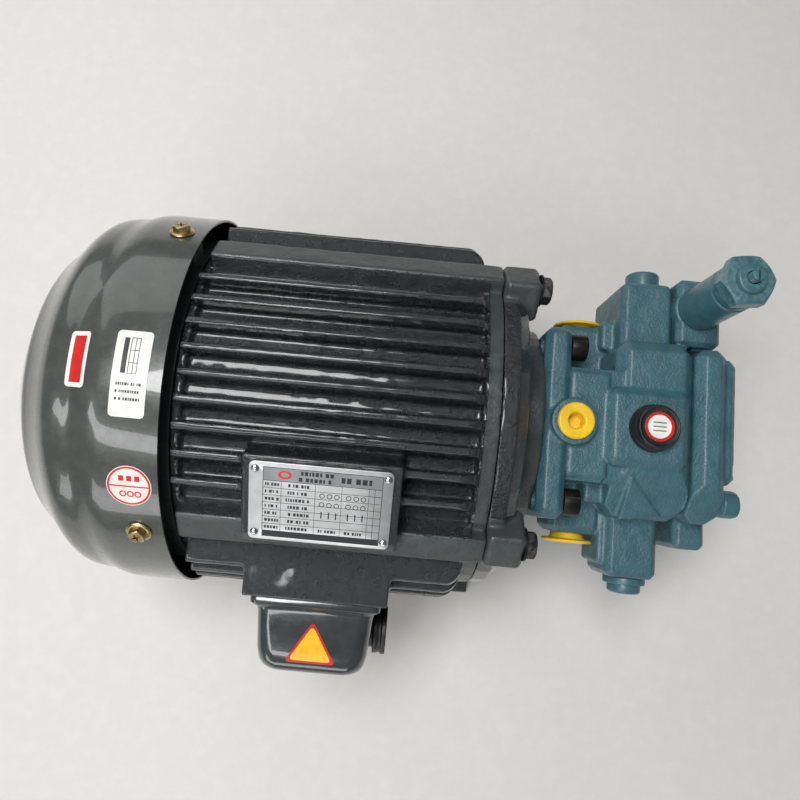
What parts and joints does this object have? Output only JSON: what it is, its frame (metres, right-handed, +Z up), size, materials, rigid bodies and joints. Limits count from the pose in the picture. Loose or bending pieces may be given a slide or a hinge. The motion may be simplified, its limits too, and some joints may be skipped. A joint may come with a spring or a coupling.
{
  "type": "motor-driven axial piston pump",
  "caption": "Induction motor with a directly flanged variable axial piston pump: finned frame on feet, fan cowl, terminal box, ported pump, pressure compensator.",
  "frame": {"origin": "middle of the unit in plan, on the plane of the foot soles", "axes": "+X along the shaft from the fan cowl to the pump, +Z up away from the feet, +Y the side opposite the terminal box"},
  "size_m": [0.414, 0.267, 0.222],
  "materials": {
    "frame_paint": "satin near-black paint over rough sand-cast iron",
    "cowl_paint": "glossy dark grey paint on pressed sheet steel",
    "pump_paint": "satin blue-green paint over fine sand-cast iron",
    "dark_steel": "black-oxide steel",
    "gold_zinc": "yellow-passivated zinc plated steel",
    "bright_steel": "ground steel",
    "lamination": "stacked electrical steel",
    "copper_winding": "varnished copper winding",
    "bronze": "bronze",
    "yellow_plastic": "moulded yellow polyethylene",
    "black_rubber": "moulded black rubber",
    "fan_plastic": "moulded black nylon",
    "board_plastic": "moulded phenolic",
    "plate_metal": "printed satin aluminium plate"
  },
  "bodies": {
    "housing": {"bias_spring": "bright_steel", "bracket_bolt_1": "dark_steel", "bracket_bolt_2": "dark_steel", "bracket_bolt_3": "dark_steel", "bracket_bolt_4": "dark_steel", "cable_entry_bush": "black_rubber", "compensator_body": "pump_paint", "compensator_cap": "pump_paint", "compensator_sleeve": "pump_paint", "compensator_spring": "bright_steel", "cowl_screw_1": "gold_zinc", "cowl_screw_2": "gold_zinc", "cowl_screw_3": "gold_zinc", "cowl_screw_4": "gold_zinc", "drain_plug": "yellow_plastic", "drive_end_bracket": "frame_paint", "fan_cowl": "cowl_paint", "flange_screw_1": "dark_steel", "flange_screw_2": "dark_steel", "flange_screw_3": "dark_steel", "flange_screw_4": "dark_steel", "front_bearing_outer_ring": "bright_steel", "front_winding": "copper_winding", "lower_gallery_plug": "pump_paint", "motor_frame": "frame_paint", "nameplate": "plate_metal", "port_plug_lower": "yellow_plastic", "port_plug_upper": "yellow_plastic", "pump_housing": "pump_paint", "pump_rear_cover": "pump_paint", "rear_bearing_outer_ring": "bright_steel", "rear_end_bracket": "frame_paint", "rear_winding": "copper_winding", "rubber_cap": "black_rubber", "shaft_seal": "black_rubber", "stator_core": "lamination", "terminal_board": "board_plastic", "terminal_box_cover": "frame_paint", "upper_gallery_plug": "pump_paint", "valve_plate": "bronze"},
    "rotating_group": {"drive_shaft": "bright_steel", "rotor_core": "lamination", "cooling_fan": "fan_plastic", "front_bearing_inner_ring": "bright_steel", "rear_bearing_inner_ring": "bright_steel", "cylinder_barrel": "bright_steel", "shoe_retainer": "dark_steel", "piston_1": "bright_steel", "piston_2": "bright_steel", "piston_3": "bright_steel", "piston_4": "bright_steel", "piston_5": "bright_steel", "piston_6": "bright_steel", "piston_7": "bright_steel"},
    "front_ball_set": {"front_bearing_ball_cage": "bronze"},
    "swash": {"swash_plate": "dark_steel"},
    "control": {"control_piston": "bright_steel"},
    "spool": {"compensator_spool": "bright_steel"},
    "seat": {"spring_seat": "bright_steel"},
    "set_screw": {"adjusting_screw": "pump_paint"}
  },
  "joints": [
    {"name": "shaft_spin", "type": "hinge", "parent": "housing", "child": "rotating_group", "pos_m": [-0.1045, 0.0155, 0.112], "axis": [1, 0, 0], "continuous": true},
    {"name": "ball_set_spin", "type": "hinge", "parent": "housing", "child": "front_ball_set", "pos_m": [0.0665, 0.0155, 0.112], "axis": [1, 0, 0], "continuous": true},
    {"name": "swash_tilt", "type": "hinge", "parent": "housing", "child": "swash", "pos_m": [0.1675, 0.0455, 0.112], "axis": [0, 0, 1], "range_deg": [0, 12]},
    {"name": "control_stroke", "type": "slide", "parent": "housing", "child": "control", "axis": [1, 0, 0], "range_m": [-0.003, 0]},
    {"name": "spool_shift", "type": "slide", "parent": "housing", "child": "spool", "axis": [0, 0, 1], "range_m": [-0.0015, 0.0015]},
    {"name": "pressure_screw_turn", "type": "hinge", "parent": "seat", "child": "set_screw", "pos_m": [0.178, 0.0915, 0.182], "axis": [0, 0, 1], "range_deg": [-720, 360]},
    {"name": "spring_seat_travel", "type": "slide", "parent": "housing", "child": "seat", "axis": [0, 0, 1], "range_m": [-0.0025, 0.00125], "deforming": ["compensator_spring"]}
  ],
  "couplings": [
    {"joint": "ball_set_spin", "follows": "shaft_spin", "ratio": 0.4},
    {"joint": "control_stroke", "follows": "swash_tilt", "m_per_rad": -0.013},
    {"joint": "pressure_screw_turn", "follows": "spring_seat_travel", "rad_per_m": 5026.5}
  ]
}
